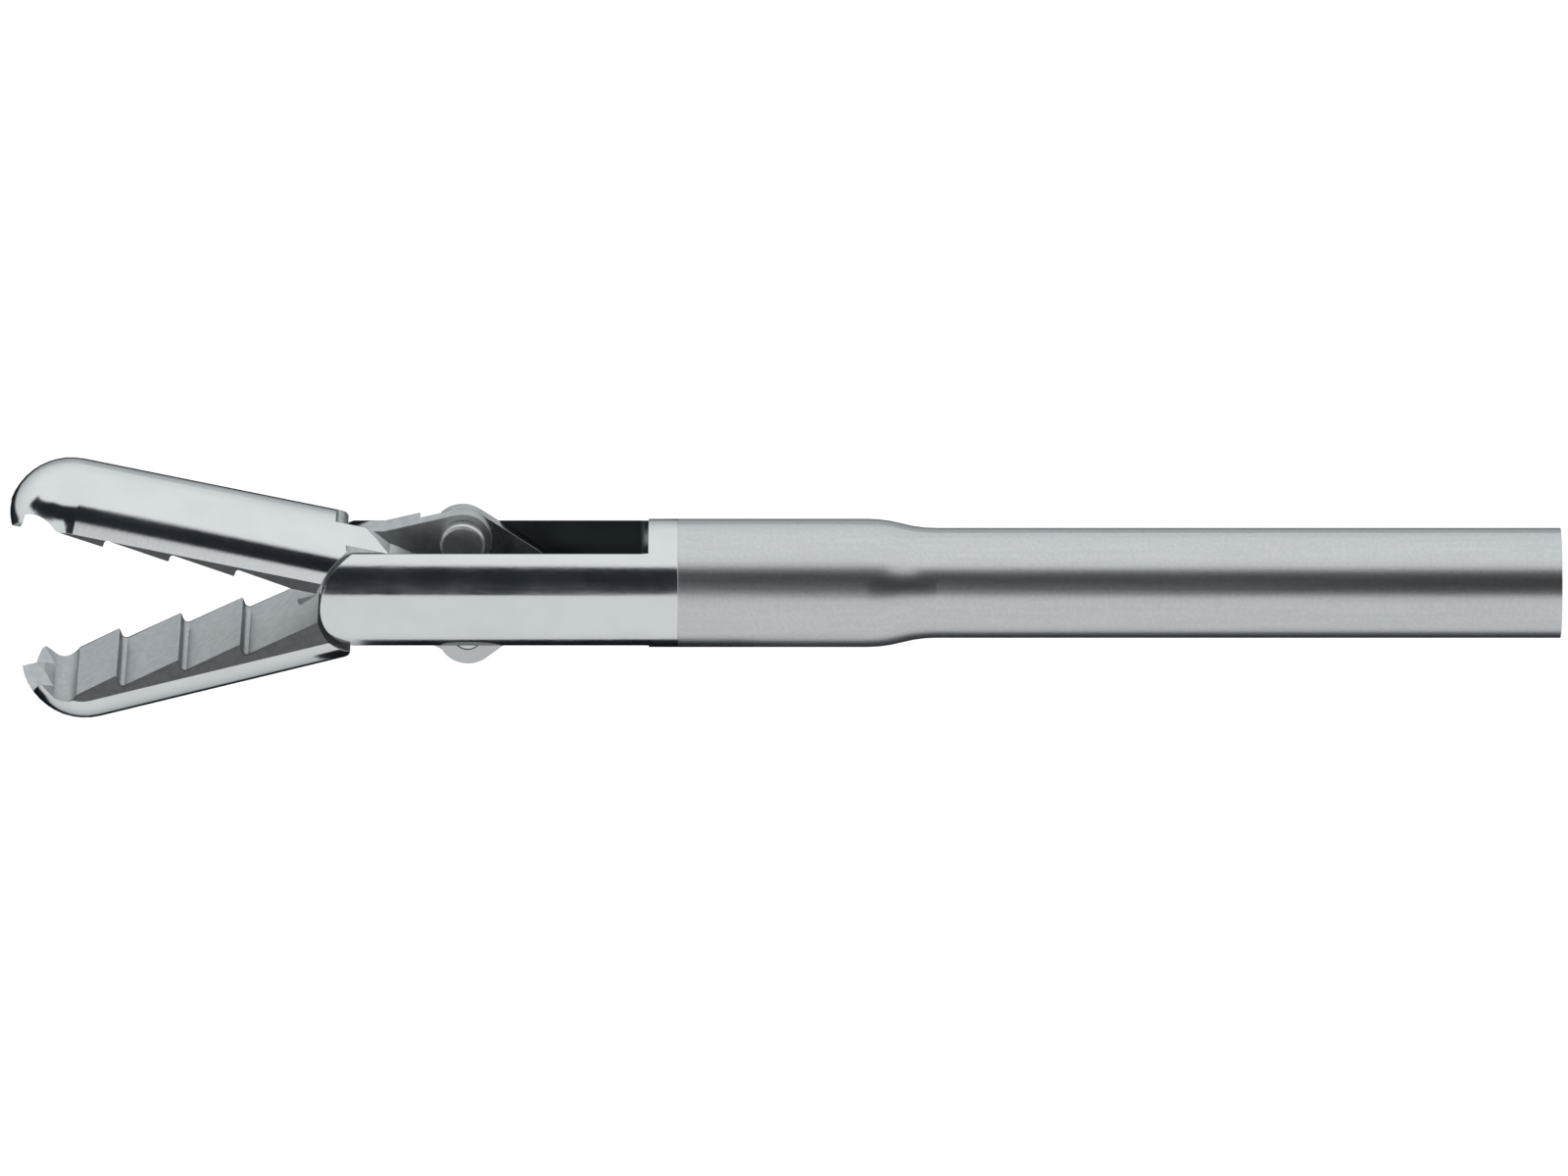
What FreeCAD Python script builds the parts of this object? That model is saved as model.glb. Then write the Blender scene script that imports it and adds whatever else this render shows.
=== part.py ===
import FreeCAD, Part
import Sketcher
import math
import os

from FreeCAD import Vector, Placement, Rotation

# Grasping forceps for keyhole surgery. Two toothed jaws swing on one pin in a slotted fork at the
# front of a slim tube. Each jaw has an arm that crosses the axis, and a link from each arm to a
# rod that runs through the tube to the thumb handle.
#
# Frame: +X runs along the shaft from the jaws to the handle, Y is along the pivot pins and +Z is
# up. The origin is the centre of the tube's rear end. The pieces are drawn with the tube's front
# rim at x = 0 and are moved together at the end.

doc = FreeCAD.newDocument("forceps")
sheet = doc.addObject("Spreadsheet::Sheet", "sizes")

SIZES = [
    # shaft and head
    ("head_radius", 1.75, "outer radius of the fork and of the wide end of the tube"),
    ("shaft_radius", 1.5, "outer radius of the tube"),
    ("tube_bore_radius", 1.1, "inner radius of the tube"),
    ("wide_end_length", 5.16, "cylinder of the wide end"),
    ("taper_length", 1.87, "S shaped step from the wide end to the tube"),
    ("tube_length", 24.05, "whole tube, from its front rim to the cut end"),
    # fork
    ("pivot_setback", 8.2, "jaw pivot to the front rim of the tube"),
    ("slot_width", 2.15, "slot between the two cheeks"),
    ("slot_back", 0.8, "web between the slot's end and the tube"),
    ("cheek_nose_radius", 1.52, "round front end of each cheek"),
    ("spigot_radius", 1.36, "part of the fork that sits in the tube"),
    ("spigot_length", 4.0, "length of that part"),
    # jaws
    ("jaw_length", 10.26, "pivot to the tip of the upper jaw"),
    ("lower_tip_setback", 0.23, "tip of the lower jaw behind the upper one"),
    ("shoulder_radius", 1.67, "hollow back of each jaw, around the pivot"),
    ("hub_radius", 1.39, "round root of each jaw arm"),
    ("boss_radius", 1.05, "boss between the two arms"),
    ("knuckle_radius", 0.8, "round end of each arm and link"),
    ("side_clearance", 0.02, "between moving leaves and the slot"),
    ("arm_gap", 0.70, "space between the two arms"),
    ("link_thickness", 0.315, "flat links"),
    ("upper_tooth_depth", 0.25, "ridge to valley"),
    ("lower_tooth_depth", 0.33, "ridge to valley"),
    ("upper_ridge_height", 0.17, "first ridge above the closing plane"),
    ("lower_ridge_height", 0.19, "first ridge below the closing plane"),
    ("upper_ridge_lean", 0.028, "fall of the ridges towards the pivot, per length"),
    ("lower_ridge_lean", 0.01, "fall of the ridges towards the pivot, per length"),
    ("upper_ridge_setback", 2.62, "first ridge behind the tip"),
    ("lower_ridge_setback", 2.61, "first ridge behind the tip"),
    ("upper_pitch", 1.83, "ridge to ridge"),
    ("lower_pitch", 1.755, "ridge to ridge"),
    ("upper_tooth_root", 0.08, "round bottom of a tooth"),
    ("lower_tooth_root", 0.13, "round bottom of a tooth"),
    ("claw_spacing", 0.71, "middle of the jaw to an upper claw, or to a notch of the lower jaw"),
    # linkage
    ("lower_arm_length", 2.57, "pivot to the knuckle of the lower jaw"),
    ("upper_arm_length", 2.72, "pivot to the knuckle of the upper jaw"),
    ("lower_arm_back", 1.3, "pivot to the back edge of the lower jaw's arm"),
    ("upper_arm_back", 0.65, "pivot to the back edge of the upper jaw's arm"),
    ("lower_arm_open_angle", 25.2, "arm to the axis, jaws open"),
    ("upper_arm_open_angle", 24.6, "arm to the axis, jaws open"),
    ("rod_pin_distance", 3.903, "jaw pivot to rod pin, jaws open"),
    ("rod_travel", 0.49, "pull that closes the jaws"),
    # pins and rod
    ("jaw_pin_radius", 0.45, "pivot pin"),
    ("link_pin_radius", 0.36, "knuckle pins and rod pin"),
    ("link_pin_head_radius", 0.62, "domed heads between the arms"),
    ("link_pin_crown", 0.10, "rounding of those heads"),
    ("pin_clearance", 0.025, "radial running clearance of a pin"),
    ("rod_pin_clearance", 0.06, "radial clearance of the rod pin in the links"),
    ("rod_radius", 0.6, "pull rod"),
    ("rod_clearance", 0.04, "radial clearance of the rod in the fork"),
    ("rod_head_half_height", 0.5, "flat front end of the rod"),
    ("rod_head_length", 1.85, "rod pin to the rear end of the rod's head"),
    ("rod_neck_radius", 0.72, "round neck of the rod's head"),
    ("rod_neck_length", 0.95, "length of that neck"),
    ("rod_tip_radius", 0.4, "thinner front end of the rod"),
    ("rod_tip_length", 1.0, "length of that end in the rod's head"),
    ("rod_end_setback", 0.55, "cut end of the rod inside the tube's cut end"),
    ("bush_length", 3.2, "bush around the rod"),
    ("bush_setback", 0.8, "bush inside the tube's cut end"),
]
for row, (alias, value, note) in enumerate(SIZES, 1):
    sheet.set("A%d" % row, note)
    sheet.set("B%d" % row, str(value))
    sheet.setAlias("B%d" % row, alias)
doc.recompute()


def size(alias):
    return float(sheet.get(alias))


def bind(target, **properties):
    """Bind properties of an object to expressions of the sheet's named sizes."""
    for name, expression in properties.items():
        for alias, value, note in SIZES:
            expression = replace_word(expression, alias)
        target.setExpression(name.replace("__", "."), expression)


def replace_word(expression, alias):
    words = expression.split(" ")
    return " ".join("sizes." + word if word == alias else word for word in words)


def plane_of(body, role):
    for feature in body.Origin.OriginFeatures:
        if feature.Role == role:
            return feature


def sketch_on(body, role, name):
    sketch = body.newObject("Sketcher::SketchObject", name)
    sketch.AttachmentSupport = [(plane_of(body, role), "")]
    sketch.MapMode = "FlatFace"
    return sketch


def cylinder(name, axis, start, radius, height):
    """A cylinder along X or Y from the point start; radius and height are expressions."""
    piece = doc.addObject("Part::Cylinder", name)
    turn = Rotation(Vector(0, 1, 0), 90) if axis == "x" else Rotation(Vector(1, 0, 0), -90)
    piece.Placement = Placement(start, turn)
    bind(piece, Radius=radius, Height=height)
    return piece


def box(name, corner, length, width, height):
    piece = doc.addObject("Part::Box", name)
    piece.Placement = Placement(corner, Rotation())
    bind(piece, Length=length, Width=width, Height=height)
    return piece


def cut(name, base, tool):
    piece = doc.addObject("Part::Cut", name)
    piece.Base = base
    piece.Tool = tool
    return piece


def fuse(name, shapes):
    piece = doc.addObject("Part::MultiFuse", name)
    piece.Shapes = shapes
    return piece


def common(name, shapes):
    piece = doc.addObject("Part::MultiCommon", name)
    piece.Shapes = shapes
    return piece


NODES = []


def node(piece, label):
    """Name a finished piece and keep it for export."""
    piece.Label = label
    NODES.append(piece)
    return piece


# Places of the linkage. The links' lengths and the closed angles follow from the open pose and
# from the rod's travel, so both links always meet the same rod pin.
setback = size("pivot_setback")
pivot = Vector(-setback, 0, 0)
rod_pin_open = size("rod_pin_distance")
rod_pin_closed = rod_pin_open + size("rod_travel")
half_slot = size("slot_width") / 2
leaf_outer = half_slot - size("side_clearance")
leaf_inner = size("arm_gap") / 2
link_inner = leaf_outer - size("link_thickness")
eye_outer = link_inner - size("side_clearance")


class Side:
    """Linkage of one jaw in the plane of motion, with its arm pointing up."""

    def __init__(self, arm, back, open_angle):
        self.arm = arm
        self.back = back
        self.open_angle = open_angle
        a = math.radians(open_angle)
        self.knuckle = Vector(arm * math.cos(a), 0, arm * math.sin(a))
        reach = rod_pin_open - self.knuckle.x
        self.link = math.hypot(reach, self.knuckle.z)
        self.link_open_angle = math.degrees(math.atan2(self.knuckle.z, reach))
        cosine = (arm ** 2 + rod_pin_closed ** 2 - self.link ** 2) / (2 * arm * rod_pin_closed)
        self.closed_angle = math.degrees(math.acos(cosine))
        self.opening = open_angle - self.closed_angle
        rise = arm * math.sin(math.radians(self.closed_angle))
        self.link_closed_angle = math.degrees(math.asin(rise / self.link))


lower = Side(size("lower_arm_length"), size("lower_arm_back"), size("lower_arm_open_angle"))
upper = Side(size("upper_arm_length"), size("upper_arm_back"), size("upper_arm_open_angle"))


# The fork: a round head with a slot for the jaws and links, a round nose on each cheek, a spigot
# that sits in the tube and a bore that guides the rod.
head = cylinder("fork_head", "x", Vector(-setback - 2, 0, 0), "head_radius", "pivot_setback + 2")
nose = cylinder("fork_nose", "y", Vector(-setback, -2, 0), "cheek_nose_radius", "4")
trunk = box("fork_trunk", Vector(-setback, -2, -2), "pivot_setback", "4", "4")
head_shape = common("fork_outside", [head, fuse("fork_side_view", [nose, trunk])])
spigot = cylinder("fork_spigot", "x", Vector(-0.5, 0, 0), "spigot_radius", "spigot_length + 0.5")
slot = box("fork_slot", Vector(-setback - 3, -half_slot, -2), "pivot_setback - slot_back + 3",
           "slot_width", "4")
rod_bore = cylinder("fork_rod_bore", "x", Vector(-2, 0, 0), "rod_radius + rod_clearance", "9")
pin_bore = cylinder("fork_pin_bore", "y", Vector(-setback, -2, 0), "jaw_pin_radius", "4")
fork = cut("fork_piece", fuse("fork_blank", [head_shape, spigot]),
           fuse("fork_cuts", [slot, rod_bore, pin_bore]))
node(fork, "fork")

# The tube: a turned profile with a wide swaged front, an S shaped taper and a long straight run.
tube = doc.addObject("PartDesign::Body", "tube_body")
outline = sketch_on(tube, "XZ_Plane", "tube_outline")
wide = size("wide_end_length")
taper = size("taper_length")
length = size("tube_length")
r_head = size("head_radius")
r_shaft = size("shaft_radius")
r_bore = size("tube_bore_radius")
r_spigot = size("spigot_radius")
seat = size("spigot_length")


def point(x, z):
    return Vector(x, z, 0)


def segment(a, b):
    return Part.LineSegment(a, b)


def s_curve(start, end):
    """Two equal arcs that leave start and reach end parallel to X."""
    half = (end.x - start.x) / 2
    step = (end.y - start.y) / 2
    radius = (half ** 2 + step ** 2) / (2 * abs(step))
    lift = math.copysign(radius - math.sqrt(radius ** 2 - (half / 2) ** 2), step)
    middle = point(start.x + half, start.y + step)
    first = Part.Arc(start, point(start.x + half / 2, start.y + lift), middle)
    second = Part.Arc(middle, point(end.x - half / 2, end.y - lift), end)
    return [first, second]


profile = [
    segment(point(0, r_spigot), point(0, r_head)),
    segment(point(0, r_head), point(wide, r_head)),
    *s_curve(point(wide, r_head), point(wide + taper, r_shaft)),
    segment(point(wide + taper, r_shaft), point(length, r_shaft)),
    segment(point(length, r_shaft), point(length, r_bore)),
    segment(point(length, r_bore), point(seat, r_bore)),
    segment(point(seat, r_bore), point(seat, r_spigot)),
    segment(point(seat, r_spigot), point(0, r_spigot)),
]
for edge in profile:
    outline.addGeometry(edge, False)
turned = tube.newObject("PartDesign::Revolution", "tube_turned")
turned.Profile = outline
turned.ReferenceAxis = (outline, ["H_Axis"])
turned.Angle = 360
node(tube, "shaft_tube")


# The jaws, made closed and with the pivot at their own origin. The upper jaw is drawn as it is,
# and the lower one upside down and then turned half a turn about the shaft axis. A third value
# marks a point that an arc passes through.
def jaw_section(reach, tip_wall, teeth, root_end, root_level):
    """Side view of a jaw above the closing plane: tip wall, scoop and three saw teeth."""
    setback, pitch, ridge, depth, lean, root = teeth
    lead = 0.03
    top = size("head_radius") + 0.3
    points = [(-reach - 0.5, top), (-reach - 0.5, tip_wall[0][1])]
    points += [(behind_tip - reach, *rest) for behind_tip, *rest in tip_wall]
    for n in range(3):
        tip = reach - setback - n * pitch
        low = ridge - lean * n * pitch
        valley = low + depth
        points.append((-tip - 0.03, low + 0.005))
        points.append((-tip, low + 0.002, "arc"))
        points.append((-tip + 0.02, low + 0.03))
        points.append((-tip + lead, valley - root))
        points.append((-tip + lead + 0.3 * root, valley - 0.3 * root, "arc"))
        points.append((-tip + lead + root, valley))
    points.append((-root_end, root_level))
    points.append((-1.2, root_level))
    points.append((-1.05, 1.18))
    points.append((-1.15, 1.38))
    points.append((-1.25, 1.51, "arc"))
    points.append((-1.42, 1.60))
    points.append((-1.52, 1.72))
    points.append((-1.52, top))
    return points


def prism(points, y0, y1):
    """Extrude a side view from y0 to y1."""
    edges = []
    here = Vector(points[-1][0], y0, points[-1][1])
    via = None
    for x, z, *kind in points:
        there = Vector(x, y0, z)
        if kind:
            via = there
            continue
        edge = Part.Arc(here, via, there).toShape() if via else Part.makeLine(here, there)
        edges.append(edge)
        here = there
        via = None
    return Part.Face(Part.Wire(edges)).extrude(Vector(0, y1 - y0, 0))


def bullet(reach):
    """The closed instrument's outside: a cylinder with a round nose, turned about X."""
    radius = size("head_radius")
    centre = -reach + radius
    bend = radius * math.sqrt(0.5)
    nose_arc = Part.Arc(Vector(-reach, 0, 0), Vector(centre - bend, 0, bend), Vector(centre, 0, radius))
    edges = [
        nose_arc.toShape(),
        Part.makeLine(Vector(centre, 0, radius), Vector(3.6, 0, radius)),
        Part.makeLine(Vector(3.6, 0, radius), Vector(3.6, 0, 0)),
        Part.makeLine(Vector(3.6, 0, 0), Vector(-reach, 0, 0)),
    ]
    face = Part.Face(Part.Wire(edges))
    return face.revolve(Vector(0, 0, 0), Vector(1, 0, 0), 360)


def round_y(radius, y0, y1, centre=Vector(0, 0, 0)):
    return Part.makeCylinder(radius, y1 - y0, centre + Vector(0, y0, 0), Vector(0, 1, 0))


def flank(upper_edge, lower_edge, sign, reach):
    """Wedge that grinds one side of a jaw flat, through two (y, z) points of its end view."""
    y0, z0 = lower_edge
    y1, z1 = upper_edge
    slope = (y1 - y0) / (z1 - z0)
    corners = [(y0 + slope * (z - z0), z) for z in (-1.0, z1 + 0.4)]
    corners += [(2.2, z1 + 0.4), (2.2, -1.0)]
    loop = [Vector(-reach - 1, sign * y, z) for y, z in corners]
    face = Part.Face(Part.makePolygon(loop + loop[:1]))
    return face.extrude(Vector(reach + 1, 0, 0))


def leaf_plate(arm, back, angle):
    """Straight part of an arm that slopes down from the hub, and the centre of its knuckle."""
    hub = size("hub_radius")
    knuckle = size("knuckle_radius")
    along = Vector(math.cos(angle), 0, -math.sin(angle))
    across = Vector(math.sin(angle), 0, math.cos(angle))
    end = along * arm
    lean = math.asin((back - knuckle) / arm)
    lower_edge = along * math.sin(lean) - across * math.cos(lean)
    upper_edge = along * 0.12 + across * 0.9928
    corners = [
        lower_edge * back,
        end + lower_edge * knuckle,
        end + upper_edge * knuckle,
        along * (arm * 0.45) + across * (hub - 0.03),
        across * hub,
    ]
    loop = [corner - Vector(0, leaf_outer, 0) for corner in corners]
    face = Part.Face(Part.makePolygon(loop + loop[:1]))
    return face.extrude(Vector(0, leaf_outer - leaf_inner, 0)), end


def make_jaw(side, section, root_level, edges, reach, front_view, notch_length):
    """One jaw with its arm on the -Y side and pointing down."""
    solid = prism(section, -2, 2).cut(round_y(size("shoulder_radius"), -3, 3))
    for sign in (-1, 1):
        solid = solid.cut(flank(*edges, sign, reach))
    neck_outline = [(-2.6, 2.2), (-2.3, root_level + 0.02), (-1.3, root_level + 0.02), (0, 0),
                    (0.1, 1.37), (-0.36, 1.61), (-0.75, 1.74), (-0.9, 2.2)]
    neck = prism(neck_outline, -leaf_outer, -leaf_inner).common(round_y(2.3, -3, 3))
    angle = math.radians(side.closed_angle)
    plate, end = leaf_plate(side.arm, side.back, angle)
    hub = round_y(size("hub_radius"), -leaf_outer, -leaf_inner)
    eye = round_y(size("knuckle_radius"), -leaf_outer, -leaf_inner, end)
    leaf = plate.fuse([hub, eye, neck])
    leaf = leaf.cut(round_y(1.27, -leaf_outer - 1, -eye_outer, end))
    boss = round_y(size("boss_radius"), -leaf_inner, -size("side_clearance") / 2)
    solid = solid.fuse([leaf, boss]).removeSplitter()
    solid = solid.cut(round_y(size("jaw_pin_radius") + size("pin_clearance"), -3, 3))
    solid = solid.cut(round_y(size("link_pin_radius"), -3, 3, end))
    loop = [Vector(-reach - 1, y, z) for y, z in front_view]
    end_view = Part.Face(Part.makePolygon(loop + loop[:1]))
    solid = bullet(reach).common(solid.cut(end_view.extrude(Vector(notch_length + 1, 0, 0))))
    if len(solid.Solids) != 1:
        raise RuntimeError("a jaw is in %d pieces" % len(solid.Solids))
    return solid.Solids[0]


def mirrored(half):
    """Front view of a row of claws, from the (y, z) points of one half, with the space below it."""
    other = [(-y, z) for y, z in reversed(half) if y > 0]
    return other + half + [(2.2, -1.0), (-2.2, -1.0)]


# The upper jaw has two claws at its tip. They fit the two notches of the lower jaw, which has a
# middle tooth and two corners. The first value of a tip wall's point is its place behind the tip.
claw = size("claw_spacing")
ridge = size("upper_ridge_height")
teeth = (size("upper_ridge_setback"), size("upper_pitch"), ridge, size("upper_tooth_depth"),
         size("upper_ridge_lean"), size("upper_tooth_root"))
reach = size("jaw_length")
tip_wall = [(0.38, -0.2), (0.42, 0.42), (0.84, 0.57, "arc"), (1.28, 0.38)]
front_view = mirrored([(0, 0.36), (claw, -0.14), (claw + 0.64, 0.40), (2.2, 0.40)])
root_level = 0.03
section = jaw_section(reach, tip_wall, teeth, 2.35, root_level)
upper_jaw = doc.addObject("Part::Feature", "upper_jaw_piece")
edges = [(1.70, 0.41), (1.60, ridge)]
upper_jaw.Shape = make_jaw(upper, section, root_level, edges, reach, front_view, 1.16)
upper_jaw.Placement = Placement(pivot, Rotation(Vector(0, 1, 0), upper.opening))
node(upper_jaw, "upper_jaw")

ridge = size("lower_ridge_height")
teeth = (size("lower_ridge_setback"), size("lower_pitch"), ridge, size("lower_tooth_depth"),
         size("lower_ridge_lean"), size("lower_tooth_root"))
reach = size("jaw_length") - size("lower_tip_setback")
tip_wall = [(0.445, -0.2), (0.445, -0.05), (0.58, 0.08), (0.78, 0.42), (1.08, 0.60, "arc"),
            (1.42, 0.47)]
front_view = mirrored([(0, -0.09), (claw, 0.41), (claw + 0.49, 0.07), (2.2, 0.07)])
root_level = 0.05
section = jaw_section(reach, tip_wall, teeth, 1.65, root_level)
lower_jaw = doc.addObject("Part::Feature", "lower_jaw_piece")
edges = [(1.61, 0.70), (1.54, ridge)]
lower_jaw.Shape = make_jaw(lower, section, root_level, edges, reach, front_view, 0.93)
half_turn = Rotation(Vector(1, 0, 0), 180)
lower_jaw.Placement = Placement(pivot, Rotation(Vector(0, 1, 0), -lower.opening) * half_turn)
node(lower_jaw, "lower_jaw")

# The pivot pin is flush with both cheeks and pressed into them.
flush = math.sqrt(r_head ** 2 - size("jaw_pin_radius") ** 2)
pin = cylinder("jaw_pin_blank", "y", Vector(-setback, -2, 0), "jaw_pin_radius", "4")
barrel = cylinder("jaw_pin_round", "x", Vector(-setback - 1, 0, 0), "head_radius", "2")
node(common("jaw_pin_piece", [pin, barrel]), "jaw_pin")


# A link is a flat bar with two round ends and two holes. It is drawn along X from its knuckle.
def make_link(name, length_value):
    body = doc.addObject("PartDesign::Body", name + "_body")
    outline = sketch_on(body, "XZ_Plane", name + "_outline")
    radius = size("knuckle_radius")
    left = Part.Arc(point(0, radius), point(-radius, 0), point(0, -radius))
    right = Part.Arc(point(length_value, -radius), point(length_value + radius, 0),
                     point(length_value, radius))
    outline.addGeometry(left, False)
    outline.addGeometry(segment(point(0, -radius), point(length_value, -radius)), False)
    outline.addGeometry(right, False)
    outline.addGeometry(segment(point(length_value, radius), point(0, radius)), False)
    plate = body.newObject("PartDesign::Pad", name + "_plate")
    plate.Profile = outline
    bind(plate, Length="link_thickness")
    plate.Midplane = True
    holes = sketch_on(body, "XZ_Plane", name + "_holes")
    eye = holes.addGeometry(Part.Circle(point(0, 0), Vector(0, 0, 1), 0.4), False)
    far = holes.addGeometry(Part.Circle(point(length_value, 0), Vector(0, 0, 1), 0.4), False)
    holes.addConstraint(Sketcher.Constraint("Coincident", eye, 3, -1, 1))
    holes.addConstraint(Sketcher.Constraint("PointOnObject", far, 3, -1))
    holes.addConstraint(Sketcher.Constraint("DistanceX", eye, 3, far, 3, length_value))
    knuckle_hole = holes.addConstraint(Sketcher.Constraint("Radius", eye, 0.4))
    rod_hole = holes.addConstraint(Sketcher.Constraint("Radius", far, 0.4))
    holes.renameConstraint(knuckle_hole, "knuckle_hole")
    holes.renameConstraint(rod_hole, "rod_hole")
    bind(holes, Constraints__knuckle_hole="link_pin_radius + pin_clearance",
         Constraints__rod_hole="link_pin_radius + rod_pin_clearance")
    drilled = body.newObject("PartDesign::Pocket", name + "_drilled")
    drilled.Profile = holes
    drilled.Type = 1
    drilled.Midplane = True
    return body


link_middle = (link_inner + leaf_outer) / 2
link = make_link("lower_link", lower.link)
link.Placement = Placement(pivot + lower.knuckle + Vector(0, link_middle, 0),
                           Rotation(Vector(0, 1, 0), lower.link_open_angle))
node(link, "lower_jaw_link")
link = make_link("upper_link", upper.link)
link.Placement = Placement(pivot + Vector(upper.knuckle.x, -link_middle, -upper.knuckle.z),
                           Rotation(Vector(0, 1, 0), -upper.link_open_angle))
node(link, "upper_jaw_link")


# A knuckle pin has a domed head between the arms and a shank through arm and link.
def make_knuckle_pin(name, centre, sign):
    body = doc.addObject("PartDesign::Body", name + "_body")
    outline = sketch_on(body, "XZ_Plane", name + "_outline")
    head = size("link_pin_head_radius")
    shank = size("link_pin_radius")
    top = leaf_inner - size("side_clearance") / 2
    crown = size("link_pin_crown")
    long = leaf_outer - leaf_inner
    outline.addGeometry(segment(point(0, -long), point(shank, -long)), False)
    outline.addGeometry(segment(point(shank, -long), point(shank, 0)), False)
    outline.addGeometry(segment(point(shank, 0), point(head, 0)), False)
    outline.addGeometry(segment(point(head, 0), point(head, top - crown)), False)
    corner = point(head - crown * 0.29, top - crown * 0.29)
    outline.addGeometry(Part.Arc(point(head, top - crown), corner, point(head - crown, top)), False)
    outline.addGeometry(segment(point(head - crown, top), point(0, top)), False)
    outline.addGeometry(segment(point(0, top), point(0, -long)), False)
    turned = body.newObject("PartDesign::Revolution", name + "_turned")
    turned.Profile = outline
    turned.ReferenceAxis = (outline, ["V_Axis"])
    turned.Angle = 360
    body.Placement = Placement(pivot + centre, Rotation(Vector(1, 0, 0), 90 * sign))
    return body


pin = make_knuckle_pin("lower_pin", lower.knuckle + Vector(0, leaf_inner, 0), 1)
node(pin, "lower_jaw_link_pin")
pin = make_knuckle_pin("upper_pin", Vector(upper.knuckle.x, -leaf_inner, -upper.knuckle.z), -1)
node(pin, "upper_jaw_link_pin")

# The rod's flat head lies between the two links, with a round front end and a socket for the rod.
pin_x = rod_pin_open - setback
tongue_half = link_inner - size("side_clearance")
tongue_width = "slot_width - 4 * side_clearance - 2 * link_thickness"
flat = box("rod_head_flat", Vector(pin_x, -tongue_half, -size("rod_head_half_height")), "1.5",
           tongue_width, "2 * rod_head_half_height")
front = cylinder("rod_head_front", "y", Vector(pin_x, -tongue_half, 0), "rod_head_half_height",
                 tongue_width)
head_rear = pin_x + size("rod_head_length")
neck = cylinder("rod_head_neck", "x", Vector(head_rear - size("rod_neck_length"), 0, 0),
                "rod_neck_radius", "rod_neck_length")
socket = cylinder("rod_head_socket", "x", Vector(head_rear - size("rod_tip_length"), 0, 0),
                  "rod_tip_radius", "rod_tip_length + 1")
cross = cylinder("rod_head_hole", "y", Vector(pin_x, -2, 0), "link_pin_radius", "4")
rod_head = cut("rod_head_piece", fuse("rod_head_blank", [flat, front, neck]),
               fuse("rod_head_cuts", [socket, cross]))
node(rod_head, "rod_head")

# The cross pin of the rod, pressed into the rod's head, with both links on its ends.
cross_pin = cylinder("rod_pin_piece", "y", Vector(pin_x, -leaf_outer, 0), "link_pin_radius",
                     "slot_width - 2 * side_clearance")
node(cross_pin, "rod_pin")

# The pull rod has a thinner front end that sits in the rod head.
rod = cylinder("rod_bar", "x", Vector(head_rear, 0, 0), "rod_radius",
               "tube_length + pivot_setback - rod_pin_distance - rod_head_length - rod_end_setback")
tip = cylinder("rod_tip", "x", Vector(head_rear - size("rod_tip_length"), 0, 0), "rod_tip_radius",
               "rod_tip_length + 0.5")
node(fuse("rod_piece", [rod, tip]), "drive_rod")

# A bush in the rear of the tube keeps the rod on the axis.
bush_start = length - size("bush_setback") - size("bush_length")
bush = cylinder("bush_ring", "x", Vector(bush_start, 0, 0), "tube_bore_radius", "bush_length")
bush_bore = cylinder("bush_bore", "x", Vector(bush_start - 1, 0, 0), "rod_radius + rod_clearance",
                     "bush_length + 2")
node(cut("bush_piece", bush, bush_bore), "rod_bush")

for piece in NODES:
    place = piece.Placement
    piece.Placement = Placement(place.Base - Vector(length, 0, 0), place.Rotation)

doc.recompute()
os.makedirs("parts", exist_ok=True)
for piece in doc.Objects:
    if "Invalid" in piece.State or "Error" in piece.State:
        raise RuntimeError(piece.Name + " failed")
for piece in NODES:
    if piece.Shape.isNull() or not piece.Shape.isValid():
        raise RuntimeError(piece.Label + " has no valid shape")
    piece.Shape.exportStep("parts/%s.step" % piece.Label)
    print(piece.Label, "solids", len(piece.Shape.Solids), "volume", round(piece.Shape.Volume, 4))
print("openings", upper.opening, lower.opening, "links", upper.link, lower.link)
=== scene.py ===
import math

import bpy
from mathutils import Matrix, Vector

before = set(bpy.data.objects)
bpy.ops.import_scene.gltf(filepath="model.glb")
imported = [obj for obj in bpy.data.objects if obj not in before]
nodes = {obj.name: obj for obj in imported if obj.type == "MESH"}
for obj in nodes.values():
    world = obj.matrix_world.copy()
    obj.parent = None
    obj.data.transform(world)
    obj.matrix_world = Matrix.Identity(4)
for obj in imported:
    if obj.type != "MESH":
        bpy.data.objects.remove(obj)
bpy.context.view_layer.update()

# The camera looks down on the instrument from the side through a long lens, so that the far and the
# near teeth of the jaws show one above the other. The photograph shows the jaw pin at pin_column and
# pin_row, and 37.43 of its pixels to the millimetre.
MM = 0.001
photo_width, photo_height = 1600, 1200
pin_column, pin_row = 385, 594.8
pixel = MM / 37.43
elevation = math.radians(25)
camera_distance = 0.5
sensor_width = 36
pin_x = -32.25 * MM
pivot = Vector((pin_x, 0, 0))
toward = Vector((0, -math.cos(elevation), math.sin(elevation)))
right = Vector((1, 0, 0))
up = toward.cross(right)
aim = pivot + right * (photo_width / 2 - pin_column) * pixel - up * (photo_height / 2 - pin_row) * pixel
camera = bpy.data.objects.new("camera", bpy.data.cameras.new("camera"))
bpy.context.scene.collection.objects.link(camera)
camera.location = aim + toward * camera_distance
camera.rotation_euler = Matrix((right, up, toward)).transposed().to_euler()
camera.data.sensor_width = sensor_width
camera.data.lens = sensor_width * camera_distance / (photo_width * pixel)
camera.data.clip_start = 0.01
camera.data.clip_end = 20
bpy.context.scene.camera = camera
bpy.context.scene.view_settings.view_transform = "Standard"


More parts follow.
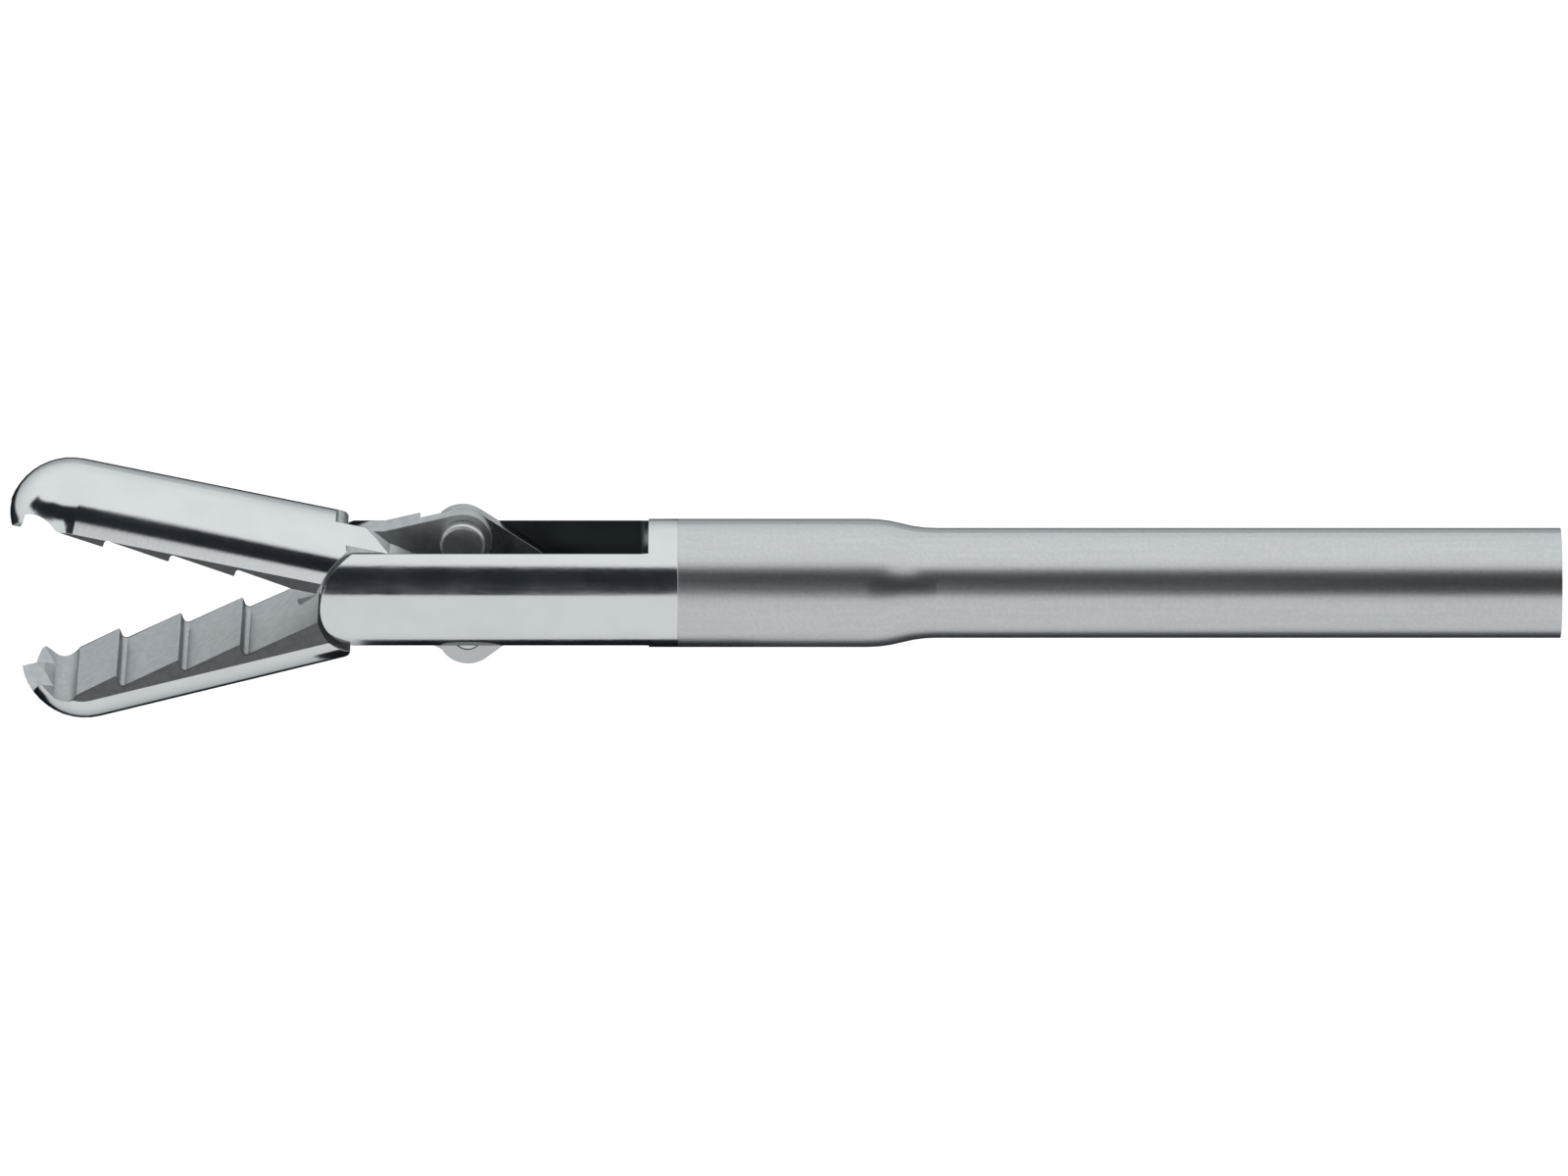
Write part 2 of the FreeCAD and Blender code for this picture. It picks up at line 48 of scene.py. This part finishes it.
# The room is a pale dome with a dark patch on the viewer's side and a dark strip behind, as a dim
# studio has. Polished steel shows the patch as its dark band and the strip as its dark rims.
class Wire:
    """An output of a shader node. Arithmetic on it adds Math nodes."""

    def __init__(self, tree, socket=None):
        self.tree = tree
        self.socket = socket

    def node(self, kind, output=0, settings=None, sockets=None):
        made = self.tree.nodes.new(kind)
        for name, value in (settings or {}).items():
            setattr(made, name, value)
        for name, value in (sockets or {}).items():
            if isinstance(value, Wire):
                self.tree.links.new(value.socket, made.inputs[name])
            else:
                made.inputs[name].default_value = value
        return Wire(self.tree, made.outputs[output]) if made.outputs else made

    def other(self, output):
        return Wire(self.tree, self.socket.node.outputs[output])

    def math(self, operation, *values):
        sockets = dict(enumerate((self,) + values))
        return self.node("ShaderNodeMath", settings={"operation": operation}, sockets=sockets)

    def vector(self, operation, *values, output="Vector"):
        sockets = dict(enumerate((self,) + values))
        return self.node("ShaderNodeVectorMath", output, {"operation": operation}, sockets)

    def __add__(self, value):
        return self.math("ADD", value)

    def __sub__(self, value):
        return self.math("SUBTRACT", value)

    def __mul__(self, value):
        return self.math("MULTIPLY", value)

    def __rsub__(self, value):
        return self * -1 + value

    __radd__ = __add__
    __rmul__ = __mul__

    def ramp(self, low, high, start=0.0, end=1.0):
        """Smooth step from start to end as this value goes from low to high."""
        return self.node("ShaderNodeMapRange", settings={"interpolation_type": "SMOOTHSTEP"},
                         sockets={"Value": self, "From Min": low, "From Max": high,
                                  "To Min": start, "To Max": end})

    def blend(self, a, b):
        """Colour a where this value is 0 and colour b where it is 1."""
        return self.node("ShaderNodeMix", output=2, settings={"data_type": "RGBA"},
                         sockets={0: self, 6: a, 7: b})

    def noise(self, scale, detail=2.0):
        """Noise at the places that this vector gives."""
        return self.node("ShaderNodeTexNoise", sockets={"Vector": self, "Scale": scale, "Detail": detail})


world = bpy.data.worlds.new("studio")
bpy.context.scene.world = world
world.use_nodes = True
world.node_tree.nodes.clear()
net = Wire(world.node_tree)
direction = net.node("ShaderNodeTexCoord", output="Generated")
across = net.node("ShaderNodeSeparateXYZ", sockets={"Vector": direction})
forward = across.other("Y") * -1
# A direction's slope above the horizon, and its turn from the viewer's side toward +X, in degrees.
slope = across.other("Z").math("ARCSINE") * (180 / math.pi)
turn = across.math("ARCTAN2", forward) * (180 / math.pi)
# The front patch is tallest where the turn is 0 and narrows to a band on both sides.
low_ahead, low_right, rise_left, dip_far_left = 3.5, 24.0, 22.0, 5.0
high_ahead, high_far_left = 52.5, 39.0
low_edge, high_edge = 3.0, 2.5
bottom = turn.ramp(0.0, 10.0, low_ahead, low_right) + turn.ramp(-3.0, -14.0, 0.0, rise_left)
bottom = bottom - turn.ramp(-60.0, -95.0, 0.0, dip_far_left)
top = turn.ramp(-40.0, -95.0, high_ahead, high_far_left)
patch = (slope - bottom).ramp(-low_edge, low_edge) * (top - slope).ramp(-high_edge, high_edge)
patch = patch * turn.ramp(25.0, 31.0, 1.0, 0.0) * turn.ramp(-100.0, -93.0)
# The strip behind the instrument reaches from far below the horizon to just under it.
strip = slope.ramp(-56.0, -50.0) * slope.ramp(-6.0, -2.0, 1.0, 0.0)
strip = across.other("Y").ramp(0.25, 0.35) * strip
patch_colour = (0.018, 0.023, 0.029, 1)
low_sky, high_sky = (0.85, 0.855, 0.86, 1), (0.99, 0.995, 1.0, 1)
seen = net.node("ShaderNodeLightPath", output="Is Camera Ray")
dark = patch.math("MAXIMUM", strip) * (1 - seen)
sky = (slope.ramp(-10.0, 50.0) * (1 - seen) + seen).blend(low_sky, high_sky)
background = net.node("ShaderNodeBackground", sockets={
    "Color": dark.blend(sky, patch_colour), "Strength": 1.0})
net.node("ShaderNodeOutputWorld", sockets={"Surface": background})


# The floor is a plain sheet of white paper far below the instrument. It is white in the picture and
# takes a faint soft shadow.
def material(name):
    """A new material without nodes, and its tree."""
    made = bpy.data.materials.new(name)
    made.use_nodes = True
    made.node_tree.nodes.clear()
    return made, Wire(made.node_tree)


def card(name, x0, x1, points):
    """A sheet from x0 to x1 along X, through (y, z) points, all in millimetres."""
    mesh = bpy.data.meshes.new(name)
    rows = [[(x * MM, y * MM, z * MM) for x in (x0, x1)] for y, z in points]
    faces = [(2 * i, 2 * i + 1, 2 * i + 3, 2 * i + 2) for i in range(len(points) - 1)]
    mesh.from_pydata([corner for row in rows for corner in row], [], faces)
    made = bpy.data.objects.new(name, mesh)
    bpy.context.scene.collection.objects.link(made)
    return made


floor_reach, floor_height, paper_glow = 3000, -60, 0.25
floor = card("floor", -floor_reach, floor_reach, [(-floor_reach, floor_height), (floor_reach, floor_height)])
floor.visible_glossy = False
paper, net = material("white_paper")
path = net.node("ShaderNodeLightPath", output="Is Camera Ray")
shown = path.math("MAXIMUM", path.other("Is Glossy Ray"))
shown = shown.math("MAXIMUM", path.other("Is Transmission Ray"))
grain = net.node("ShaderNodeTexNoise", sockets={"Scale": 900.0, "Detail": 4.0})
tone = grain.ramp(0.3, 0.7).blend((0.80, 0.80, 0.80, 1), (0.83, 0.83, 0.83, 1))
sheet = net.node("ShaderNodeBsdfDiffuse", sockets={"Color": tone, "Roughness": 0.5})
glow = net.node("ShaderNodeEmission", sockets={"Color": (1, 1, 1, 1), "Strength": shown * paper_glow})
both = net.node("ShaderNodeAddShader", sockets={0: sheet, 1: glow})
net.node("ShaderNodeOutputMaterial", sockets={"Surface": both})
floor.data.materials.append(paper)


# Three felt cards stand out of the picture, and only reflections show them. A black one and a grey
# one lie below and behind the fork and the tube, for their dark lower rims. A black one in front
# widens the tube's dark band.
def arc(start, radius=10, step=8, count=9):
    """Points on a circle round the shaft's axis, from the start angle on, in degrees."""
    angles = [math.radians(start + step * n) for n in range(count)]
    return [(radius * math.cos(angle), radius * math.sin(angle)) for angle in angles]


def felt_card(name, x0, x1, points, tone):
    made = card(name, x0, x1, points)
    made.visible_camera = False
    made.visible_diffuse = False
    made.visible_shadow = False
    felt, net = material(name + "_felt")
    weave = net.node("ShaderNodeTexNoise", sockets={"Scale": 400.0})
    dark_thread = (tone * 0.8, tone * 0.8, tone, 1)
    light_thread = (tone * 1.2, tone * 1.2, tone * 1.4, 1)
    shade = weave.ramp(0.3, 0.7).blend(dark_thread, light_thread)
    surface = net.node("ShaderNodeBsdfDiffuse", sockets={"Color": shade, "Roughness": 0.9})
    net.node("ShaderNodeOutputMaterial", sockets={"Surface": surface})
    made.data.materials.append(felt)


black_felt, grey_felt = 0.025, 0.11
felt_card("fork_card", -32.9, -22, arc(-91), black_felt)
felt_card("tube_card", -22, 10, arc(-87), grey_felt)
felt_card("front_card", -19, 150, [(-60, -1), (-60, 56)], black_felt)

# One large soft lamp hangs above and a little in front. Its own shape isn't mirrored in the steel.
lamp = bpy.data.objects.new("softbox", bpy.data.lights.new("softbox", "AREA"))
bpy.context.scene.collection.objects.link(lamp)
lamp.data.shape = "RECTANGLE"
lamp.data.size = 0.8
lamp.data.size_y = 0.5
lamp.data.energy = 3
lamp.location = (0.1, -0.1, 0.9)
lamp.rotation_euler = (math.radians(-6), 0, 0)
lamp.visible_glossy = False


# The fork is hard stainless steel, turned, slotted and buffed along the shaft to a near mirror. The
# jaw pin is pressed into it, ground flush and buffed with it. The walls of its slot are left dull, as
# the cutter left them, and their colour is painted near black as painted shade inside the slot.
def steel(name, grain_height, scratch, stretch, edge=0.03, pin_radius=None):
    """A ground steel surface. Its edges are rounded by edge millimetres, except beside a flush pin."""
    made, net = material(name)
    place = net.node("ShaderNodeTexCoord", output="Object")
    lines = place.vector("MULTIPLY", stretch).noise(14000.0, 3.0)
    normal = net.node("ShaderNodeBevel", settings={"samples": 6}, sockets={"Radius": edge * MM})
    if pin_radius:
        side = net.node("ShaderNodeSeparateXYZ", sockets={"Vector": place.vector("SUBTRACT", pivot)})
        away = (side * side + side.other("Z") * side.other("Z")).math("SQRT")
        near = away.ramp(pin_radius * MM, (pin_radius + 0.05) * MM, 1.0, 0.0)
        plain = net.node("ShaderNodeNewGeometry", output="Normal")
        normal = net.node("ShaderNodeMix", output=1, settings={"data_type": "VECTOR"},
                          sockets={0: near, 4: normal, 5: plain})
    height = place.noise(9000.0) + lines * scratch
    bump = net.node("ShaderNodeBump", sockets={
        "Strength": 1.0, "Distance": grain_height * MM, "Height": height, "Normal": normal})
    return made, net, place, lines, bump


def clouded(place, lines, colour, rough):
    """The faintly uneven tone and gloss of buffed steel."""
    cloud = place.noise(900.0, 3.0)
    tone = cloud.ramp(0.3, 0.7).blend([0.95 * part for part in colour] + [1], list(colour) + [1])
    dull = cloud.ramp(0.3, 0.7, rough * 0.88, rough * 1.12) + (lines - 0.5) * (rough * 0.5)
    return tone, dull


def finish_steel(net, tone, dull, bump):
    surface = net.node("ShaderNodeBsdfPrincipled", sockets={
        "Base Color": tone, "Metallic": 1.0, "Roughness": dull, "Normal": bump,
        "Specular Tint": (0.35, 0.37, 0.38, 1)})
    net.node("ShaderNodeOutputMaterial", sockets={"Surface": surface})


def coat(made, slot, *names):
    for name in names:
        nodes[name].data.materials.clear()
        nodes[name].data.materials.append(made)


slot_half_width, slot_end, cut_edge = 1.08 * MM, -25.1 * MM, 0.2 * MM
buffed, net, place, lines, bump = steel("polished_steel", 0.0007, 0.8, (0.25, 1.0, 1.0), pin_radius=0.5)
tone, dull = clouded(place, lines, (0.695, 0.725, 0.745), 0.15)
spot = net.node("ShaderNodeSeparateXYZ", sockets={"Vector": place})
# Slot walls: dull from the cutter, and a near black colour that is painted shade inside the slot.
slot_shade_and_dull = spot.other("Y").math("ABSOLUTE").ramp(slot_half_width, slot_half_width + 0.02 * MM, 1.0, 0.0)
slot_shade_and_dull = slot_shade_and_dull * spot.ramp(slot_end, slot_end + cut_edge, 1.0, 0.0)
tone = slot_shade_and_dull.blend(tone, (0.085, 0.105, 0.12, 1))
finish_steel(net, tone, dull + slot_shade_and_dull * 0.35, bump)
coat(buffed, "polished_steel", "fork")
coat(buffed, "pin_steel", "jaw_pin")

# The links are flat bars of stainless steel with a satin grind. The knuckle pins are turned and
# lightly polished and go through arm and link. The cross pin is pressed into the rod's head.
satin, net, place, lines, bump = steel("link_steel", 0.0008, 0.8, (1.0, 1.0, 0.3))
finish_steel(net, *clouded(place, lines, (0.52, 0.545, 0.56), 0.26), bump)
coat(satin, "polished_steel", "lower_jaw_link", "upper_jaw_link")
turned, net, place, lines, bump = steel("pin_steel", 0.0006, 0.3, (1.0, 1.0, 1.0), edge=0.06)
finish_steel(net, *clouded(place, lines, (0.68, 0.705, 0.72), 0.42), bump)
coat(turned, "pin_steel", "lower_jaw_link_pin", "upper_jaw_link_pin", "rod_pin")

# The rod is a drawn steel bar, duller and darker than the rest. Its flat head is of the same steel
# and sits on its thinner front end.
drawn, net, place, lines, bump = steel("rod_steel", 0.0006, 0.6, (0.2, 1.0, 1.0))
finish_steel(net, *clouded(place, lines, (0.34, 0.35, 0.36), 0.30), bump)
coat(drawn, "rod_steel", "rod_head", "drive_rod")

# The jaws are hard stainless steel, buffed outside. Inside, the teeth and the scoop have the even
# satin of spark erosion. The flats along both sides of the teeth are a ground satin, painted dark as
# painted shade, darker on the upper jaw than on the lower.
# A jaw's outside is a round bar of jaw_radius with a ball end, so its surface faces away from the
# bar's axis. What doesn't is the inside.
jaw_radius = 1.75
skin = (jaw_radius - 0.09) * MM, (jaw_radius - 0.06) * MM
flat_from = 1.50 * MM, 1.53 * MM
# The last number of each jaw is the painted shade of its flats, darker on the upper jaw.
for name, opening, reach, flat_shade in (("upper_jaw", -12.537, 10.26, 0.10), ("lower_jaw", 14.914, 10.03, 0.12)):
    made, net, place, lines, bump = steel(name + "_steel", 0.0004, 0.5, (1.0, 1.0, 1.0), edge=0.02)
    tone, dull = clouded(place, lines, (0.70, 0.73, 0.75), 0.11)
    facing = net.node("ShaderNodeNewGeometry", output="True Normal")
    facing = net.node("ShaderNodeVectorTransform", sockets={"Vector": facing}, settings={
        "vector_type": "NORMAL", "convert_from": "WORLD", "convert_to": "OBJECT"})
    level, facing = (net.node("ShaderNodeVectorRotate", settings={"rotation_type": "Y_AXIS"},
                              sockets={"Vector": vector, "Angle": math.radians(opening)})
                     for vector in (place.vector("SUBTRACT", pivot), facing))
    spot = net.node("ShaderNodeSeparateXYZ", sockets={"Vector": level})
    past_ball = (spot + (reach - jaw_radius) * MM).math("MINIMUM", 0.0)
    spoke = net.node("ShaderNodeCombineXYZ", sockets={
        "X": past_ball, "Y": spot.other("Y"), "Z": spot.other("Z")})
    radius = spoke.vector("LENGTH", output="Value")
    outward = spoke.vector("NORMALIZE").vector("DOT_PRODUCT", facing, output="Value")
    inner = 1 - radius.ramp(*skin) * outward.ramp(0.90, 0.93)
    beside = spot.other("Y").math("ABSOLUTE").ramp(*flat_from)
    mottle = place.noise(5000.0).ramp(0.35, 0.65)
    eroded = mottle.blend((0.495, 0.525, 0.54, 1), (0.555, 0.585, 0.60, 1))
    # Painted shade: the ground flats' colour is painted dark for the shade that falls on them.
    ground = mottle.blend((flat_shade, flat_shade * 1.05, flat_shade * 1.08, 1), (flat_shade * 1.15, flat_shade * 1.2, flat_shade * 1.24, 1))
    tone = inner.blend(tone, beside.blend(eroded, ground))
    finish_steel(net, tone, dull + inner * 0.30, bump)
    coat(made, "polished_steel", name)

# The tube is stainless steel with a swaged wide front end, pressed over the fork's spigot and bead
# blasted: a fine even grain over faint drawing lines, which scatters the light.
blasted, net, place, lines, bump = steel("blasted_steel", 0.0012, 0.25, (0.08, 1.0, 1.0))
drawing = place.vector("MULTIPLY", (0.05, 1.0, 1.0)).noise(7000.0, 3.0)
grain = place.noise(11000.0) * 0.6 + drawing * 0.4
tone = grain.ramp(0.38, 0.62).blend((0.535, 0.56, 0.575, 1), (0.585, 0.61, 0.63, 1))
finish_steel(net, tone, 0.27 + grain * 0.05, bump)
coat(blasted, "matte_steel", "shaft_tube")

# The bush is turned from a grey low friction polymer and pressed into the rear of the tube. The rod
# slides in it.
polymer, net = material("bush_polymer")
speck = net.node("ShaderNodeTexNoise", sockets={"Scale": 3000.0})
tone = speck.ramp(0.3, 0.7).blend((0.30, 0.30, 0.31, 1), (0.36, 0.36, 0.37, 1))
surface = net.node("ShaderNodeBsdfPrincipled", sockets={"Base Color": tone, "Roughness": 0.45})
net.node("ShaderNodeOutputMaterial", sockets={"Surface": surface})
coat(polymer, "bush_polymer", "rod_bush")
